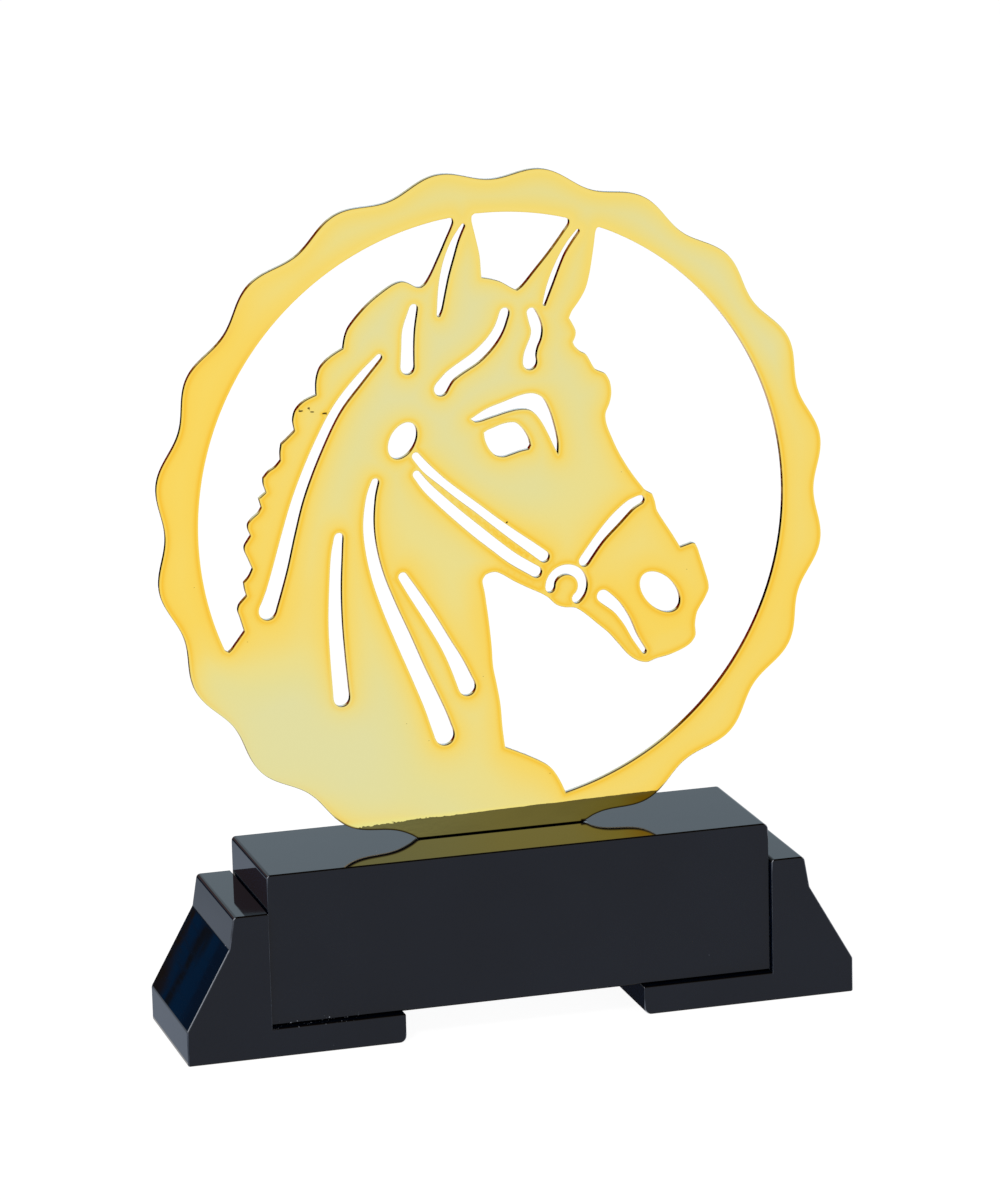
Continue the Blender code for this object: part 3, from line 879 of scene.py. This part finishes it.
def gold_plating():
    """Mirror-polished gold plating with painted reflections, pale where the sheet is broad and warmer
    towards each cut.
    """
    n = Nodes("gold_plating_polished")
    place = n.add("ShaderNodeTexCoord").outputs["Object"]
    x, _, z = n.add("ShaderNodeSeparateXYZ", {0: place}).outputs
    distance = n.add("ShaderNodeAttribute", attribute_name="edge_distance").outputs["Fac"]
    mark = n.add("ShaderNodeAttribute", attribute_name="mark").outputs["Fac"]

    pale = painted_reflection_paleness(n, place)
    broad, middle, rim = [n.ramp(pale, plated_stops(shades)) for shades in
                          (BROAD_SHADES, MIDDLE_SHADES, RIM_SHADES)]
    rim = n.mixed(n.span(z, *CROWN_RIM_SPAN), rim, plated(*CROWN_RIM_SHADE))
    reach = n.math("MULTIPLY", distance, 1.0 / (FADE_REACH * MM), clamp=True)
    to_middle, to_broad = [
        n.ramp(reach, [(mm / FADE_REACH, (share, share, share, 1.0)) for mm, share in fade])
        for fade in (TO_MIDDLE, TO_BROAD)
    ]
    base = n.mixed(to_broad, n.mixed(to_middle, rim, middle), broad)
    base = n.mixed(n.math("MULTIPLY", n.patch(place, *PLAIN_RIM), PLAIN_RIM_SHARE), base, broad)

    # painted reflections deeper at its foot, a painted dark reflection along the lower edge, and painted
    # shade where it goes down into the slot
    deep = n.ramp(n.math("MULTIPLY_ADD", x, 1.0 / PLATE_FOOT_WIDTH, 0.5), plated_stops(PLATE_FOOT_PAINTED_REFLECTIONS))
    base = n.mixed(n.math("MULTIPLY", n.span(z, *PLATE_FOOT_SPAN), PLATE_FOOT_SHARE), base, deep)
    painted_lower_edge = n.math("MULTIPLY", n.span(distance, *LOWER_EDGE_WIDTH), n.span(z, *LOWER_EDGE_SPAN))
    base = n.mixed(painted_lower_edge, base, colour(*LOWER_EDGE_PAINTED_REFLECTION))
    base = n.mixed(n.span(z, *SLOT_LINE_SPAN), base, colour(*SLOT_LINE_PAINTED_SHADE))
    base = n.mixed(mark, base, colour(*MARK_SHADE))

    n.put(n.shader.inputs["Base Color"], base)
    n.put(n.shader.inputs["Metallic"], 1.0)
    smears = n.noise(n.stretched(place, SMEAR_STRETCH, SMEAR_TURN), SMEAR_SCALE, 3.0)
    n.put(n.shader.inputs["Roughness"], n.span(smears, *SMEAR_SPAN))
    n.put(n.shader.inputs["Normal"], n.bump(plating_relief(n, place), 1.0))
    return n.material


def cut_wall():
    """The wall of a cut, with painted reflections: nearly black where it faces left, then red-brown, then
    gold as it turns up.
    """
    n = Nodes("gold_plating_cut")
    coordinates = n.add("ShaderNodeTexCoord").outputs
    place = coordinates["Object"]
    x, _, z = n.add("ShaderNodeSeparateXYZ", {0: coordinates["Normal"]}).outputs
    turn = n.math("ARCTAN2", z, n.math("MULTIPLY", x, -1.0))
    grain = n.noise(n.stretched(place, GRAIN_STRETCH), GRAIN_SCALE, 3.0, 0.7)
    cloud = n.noise(place, WALL_CLOUD_SCALE, 1.0)
    for shift, reach in ((grain, GRAIN_SHIFT), (cloud, WALL_CLOUD_SHIFT)):
        turn = n.math("MULTIPLY_ADD", n.math("SUBTRACT", shift, 0.5), reach, turn)
    turned = n.math("MULTIPLY_ADD", turn, 0.5 / math.pi, 0.5)
    base = n.ramp(turned, [((angle + 180) / 360, colour(*shade)) for angle, shade in WALL_PAINTED_REFLECTIONS])
    slant = n.ramp(turned, [((angle + 180) / 360, (*shade, 1.0)) for angle, shade in WALL_PAINTED_SLANT_TINTS])
    n.put(n.shader.inputs["Base Color"], base)
    n.put(n.shader.inputs["Metallic"], 1.0)
    n.put(n.shader.inputs["Specular Tint"], slant)
    n.put(n.shader.inputs["Roughness"], n.span(grain, *GRAIN_ROUGHNESS))
    n.put(n.shader.inputs["Normal"], n.bump(grain, GRAIN_HEIGHT))
    return n.material


def dust_specks(n, place):
    """How much of a speck of dust lies at a place. Most lie in the groove under the block."""
    x, _, z = n.add("ShaderNodeSeparateXYZ", {0: place}).outputs
    in_groove = n.math("MULTIPLY", n.span(z, *GROOVE_TOP), n.span(z, *GROOVE_BOTTOM))
    beside = n.math("MULTIPLY", n.span(x, *GROOVE_LEFT), n.span(x, *GROOVE_RIGHT))
    in_groove = n.math("MULTIPLY", in_groove, beside)
    dust = 0.0
    for scale, least, most, chosen, where in DUST:
        cells = n.add("ShaderNodeTexVoronoi", {"Vector": place, "Scale": scale}, feature="F1")
        pick, size, _ = n.add("ShaderNodeSeparateColor", {0: cells.outputs["Color"]}).outputs
        reach = n.math("MULTIPLY_ADD", size, most - least, least)
        speck = n.math("LESS_THAN", cells.outputs["Distance"], reach)
        speck = n.math("MULTIPLY", speck, n.span(pick, chosen, 1.0, 0.0, DUST_SHARE))
        if where == "groove":
            speck = n.math("MULTIPLY", speck, in_groove)
        dust = n.math("MAXIMUM", dust, speck)
    return dust


def lacquer():
    """Glossy black lacquer with a blue cast, painted shade over the top edges, a patchy painted highlight on
    upright ones, and a painted glint at the corners.
    """
    n = Nodes("black_lacquer_polished")
    coordinates = n.add("ShaderNodeTexCoord").outputs
    place = coordinates["Object"]
    facing = n.add("ShaderNodeSeparateXYZ", {0: coordinates["Normal"]}).outputs
    across, deep, up = [n.math("ABSOLUTE", part) for part in facing]
    base = n.ramp(n.noise(place, LACQUER_CLOUD_SCALE, 3.0), LACQUER_SHADES)
    # painted shade over the top edges
    painted_top_edge_shade = n.span(n.math("MULTIPLY", up, n.math("MAXIMUM", across, deep)), *TOP_EDGE_SPAN)
    base = n.mixed(painted_top_edge_shade, base, TOP_EDGE_PAINTED_SHADE)
    # a painted highlight on the upright edges, broken into patches
    side_edge_highlight = n.span(n.math("MULTIPLY", across, deep), *SIDE_EDGE_SPAN)
    side_edge_highlight = n.math("MULTIPLY", side_edge_highlight, n.span(up, *SIDE_EDGE_UPRIGHT))
    highlight_breaks = n.span(n.noise(place, HIGHLIGHT_BREAK_SCALE, 2.0), *HIGHLIGHT_BREAK_SPAN)
    base = n.mixed(n.math("MULTIPLY", side_edge_highlight, highlight_breaks), base, colour(*SIDE_EDGE_PAINTED_HIGHLIGHT))
    # a painted glint where three faces meet at a corner
    corner = n.math("MULTIPLY", n.math("MULTIPLY", across, deep), up)
    base = n.mixed(n.span(corner, *CORNER_SPAN), base, colour(*CORNER_PAINTED_GLINT))
    dust = dust_specks(n, place)
    base = n.mixed(dust, base, colour(*DUST_SHADE))

    n.put(n.shader.inputs["Base Color"], base)
    n.put(n.shader.inputs["IOR"], LACQUER_IOR)
    streaks = n.noise(n.stretched(place, STREAK_STRETCH), STREAK_SCALE, 2.0)
    rough = n.math("MAXIMUM", n.span(streaks, *STREAK_SPAN), n.math("MULTIPLY", dust, DUST_ROUGHNESS))
    n.put(n.shader.inputs["Roughness"], rough)
    n.put(n.shader.inputs["Normal"], n.bump(n.noise(place, PEEL_SCALE, 1.0), PEEL_HEIGHT))
    return n.material


# The floor, the light and the camera

def upright(across, depth, height):
    """The corners of an upright card, between two places across and two heights."""
    return [
        (across[0], depth, height[0]),
        (across[1], depth, height[0]),
        (across[1], depth, height[1]),
        (across[0], depth, height[1]),
    ]


def level(across, depth, height):
    """The corners of a level card, between two places across and two depths."""
    return [
        (across[0], depth[0], height),
        (across[1], depth[0], height),
        (across[1], depth[1], height),
        (across[0], depth[1], height),
    ]


def flat_mesh(name, corners, material):
    """One four-cornered face."""
    mesh = bpy.data.meshes.new(name)
    mesh.from_pydata(corners, [], [(0, 1, 2, 3)])
    mesh.materials.append(material)
    return mesh


def floor():
    """A plain pale floor."""
    n = Nodes("pale_floor")
    n.put(n.shader.inputs["Base Color"], FLOOR_SHADE)
    n.put(n.shader.inputs["Roughness"], FLOOR_ROUGHNESS)
    n.put(n.shader.inputs["Specular IOR Level"], 0.0)
    n.put(n.shader.inputs["Emission Color"], WHITE)
    n.put(n.shader.inputs["Emission Strength"], FLOOR_GLOW)
    reach = (-FLOOR_HALF, FLOOR_HALF)
    piece = link("floor", flat_mesh("floor", level(reach, reach, 0.0), n.material))


def studio():
    """Soft white light from all round, cooler behind the trophy than in front of it, and dim overhead."""
    world = bpy.data.worlds.new("studio")
    bpy.context.scene.world = world
    n = WorldNodes(world)
    way = n.add("ShaderNodeTexCoord").outputs["Generated"]
    x, y, z = n.add("ShaderNodeSeparateXYZ", {0: way}).outputs
    behind = n.mixed(n.span(x, *BEHIND_SPAN), BEHIND_LEFT, BEHIND_RIGHT)
    shade = n.mixed(n.span(y, *FRONT_TO_BEHIND), WHITE, behind)
    shade = n.mixed(n.span(z, *OVERHEAD_SPAN), shade, OVERHEAD)
    n.put(n.shader.inputs["Color"], shade)
    n.put(n.shader.inputs["Strength"], STUDIO_STRENGTH)


def reflected_card(name, shade, corners):
    """A card that only the trophy's gloss shows, as a photographer stands one beside the view."""
    n = Nodes(name)
    n.put(n.shader.inputs["Base Color"], BLACK)
    n.put(n.shader.inputs["Specular IOR Level"], 0.0)
    n.put(n.shader.inputs["Emission Color"], shade)
    n.put(n.shader.inputs["Emission Strength"], 1.0)
    piece = link(name, flat_mesh(name, corners, n.material))
    piece.visible_camera = False
    piece.visible_diffuse = False
    piece.visible_shadow = False
    return n


def screen():
    """A dark screen behind the trophy's left, with a blue cloth in folds on it."""
    n = reflected_card("dark_screen", SCREEN_SHADE, upright(SCREEN_ACROSS, SCREEN_DEPTH, SCREEN_HEIGHT))
    place = n.add("ShaderNodeTexCoord").outputs["Object"]
    _, _, z = n.add("ShaderNodeSeparateXYZ", {0: place}).outputs
    turn = (0.0, CLOTH_LEAN, 0.0)
    stretch = (1.0, 1.0, CLOTH_STRETCH)
    across = n.add("ShaderNodeMapping", {"Vector": place, "Rotation": turn, "Scale": stretch},
                   vector_type="TEXTURE").outputs[0]
    x, _, _ = n.add("ShaderNodeSeparateXYZ", {0: across}).outputs
    folds = n.noise(across, CLOTH_NOISE_SCALE, 3.0, 0.6)
    x = n.math("MULTIPLY_ADD", n.math("SUBTRACT", folds, 0.5), CLOTH_NOISE_SHIFT, x)
    share = n.math("MULTIPLY", n.math("ADD", x, -CLOTH_START), 1.0 / CLOTH_WIDTH)
    cloth = n.ramp(share, CLOTH_FOLDS)
    cloth = n.mixed(n.span(z, *CLOTH_SHADE_SPAN), CLOTH_SHADE, cloth)
    n.put(n.shader.inputs["Emission Color"], n.mixed(n.span(z, *CLOTH_TOP), SCREEN_SHADE, cloth))


def low_cards(block_low, block_high):
    """A grey card beside the left foot as painted shade on the floor, and a dark card as painted shade under
    the block.
    """
    n = reflected_card("floor_shade_card", GREY_NEAR, level(GREY_ACROSS, GREY_DEPTH, CARD_LEVEL))
    place = n.add("ShaderNodeTexCoord").outputs["Object"]
    _, y, _ = n.add("ShaderNodeSeparateXYZ", {0: place}).outputs
    n.put(n.shader.inputs["Emission Color"], n.mixed(n.span(y, *GREY_SPAN), GREY_NEAR, GREY_FAR))
    across = (block_low.x / 2, block_high.x / 2)
    depth = (block_low.y, block_high.y * UNDER_BLOCK_REACH)
    reflected_card("shade_card", UNDER_BLOCK_SHADE, level(across, depth, CARD_LEVEL))


def soft_light(name, place, target, size, power):
    """An area light that looks at a place."""
    data = bpy.data.lights.new(name, "AREA")
    data.shape = "DISK"
    data.size = size
    data.energy = power
    lamp = link(name, data)
    lamp.location = place
    lamp.visible_glossy = False
    lamp.rotation_euler = (Vector(target) - Vector(place)).to_track_quat("-Z", "Y").to_euler()


def camera():
    """The scene's camera, where the photograph was taken from."""
    data = bpy.data.cameras.new("camera")
    data.lens = CAMERA_LENS
    data.sensor_width = SENSOR
    data.clip_start = NEAREST_SEEN
    data.clip_end = FARTHEST_SEEN
    piece = link("camera", data)
    turn = Matrix.Rotation(-math.radians(CAMERA_TURN), 4, "Z")
    pitch = Matrix.Rotation(math.radians(90 - CAMERA_PITCH), 4, "X")
    roll = Matrix.Rotation(-math.radians(CAMERA_ROLL), 4, "Z")
    piece.matrix_world = Matrix.Translation(CAMERA_PLACE) @ turn @ pitch @ roll
    bpy.context.scene.camera = piece


# The plate
plate = link("gilded_plate", plate_mesh(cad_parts["medallion"]))
plate.data.materials.append(gold_plating())
plate.data.materials.append(cut_wall())
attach(plate, "root")
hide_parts("medallion")

# The plinth
black = lacquer()
block_low, block_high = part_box("plinth_block")
plate_low, plate_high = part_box("medallion")
slot_half = SLOT_LENGTH / 2 + SLOT_CLEARANCE
slot_middle = (plate_low.x + plate_high.x) / 2
slot_low = (slot_middle - slot_half, plate_low.y - SLOT_CLEARANCE, plate_low.z - SLOT_CLEARANCE)
slot_high = (slot_middle + slot_half, plate_high.y + SLOT_CLEARANCE, block_high.z)
block = finished("lacquered_block", block_shape(block_low, block_high, slot_low, slot_high))
block.data.materials.append(black)
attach(block, "root")
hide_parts("plinth_block")
for side, node in ((-1, "left_foot"), (1, "right_foot")):
    low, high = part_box(node)
    profile = [(side * x * MM, z * MM, (left if side < 0 else right) * MM) for x, z, left, right in FOOT]
    if side < 0:
        profile.reverse()
    foot = finished("lacquered_" + node, extruded(profile, low.y, high.y))
    foot.data.materials.append(black)
    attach(foot, "root")
    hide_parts(node)

# The set
floor()
studio()
screen()
low_cards(block_low, block_high)
soft_light("key_light", place=(-0.9, -1.2, 1.6), target=(0.0, 0.0, 0.1), size=0.4, power=6.0)
camera()
bpy.context.scene.view_settings.view_transform = "Standard"
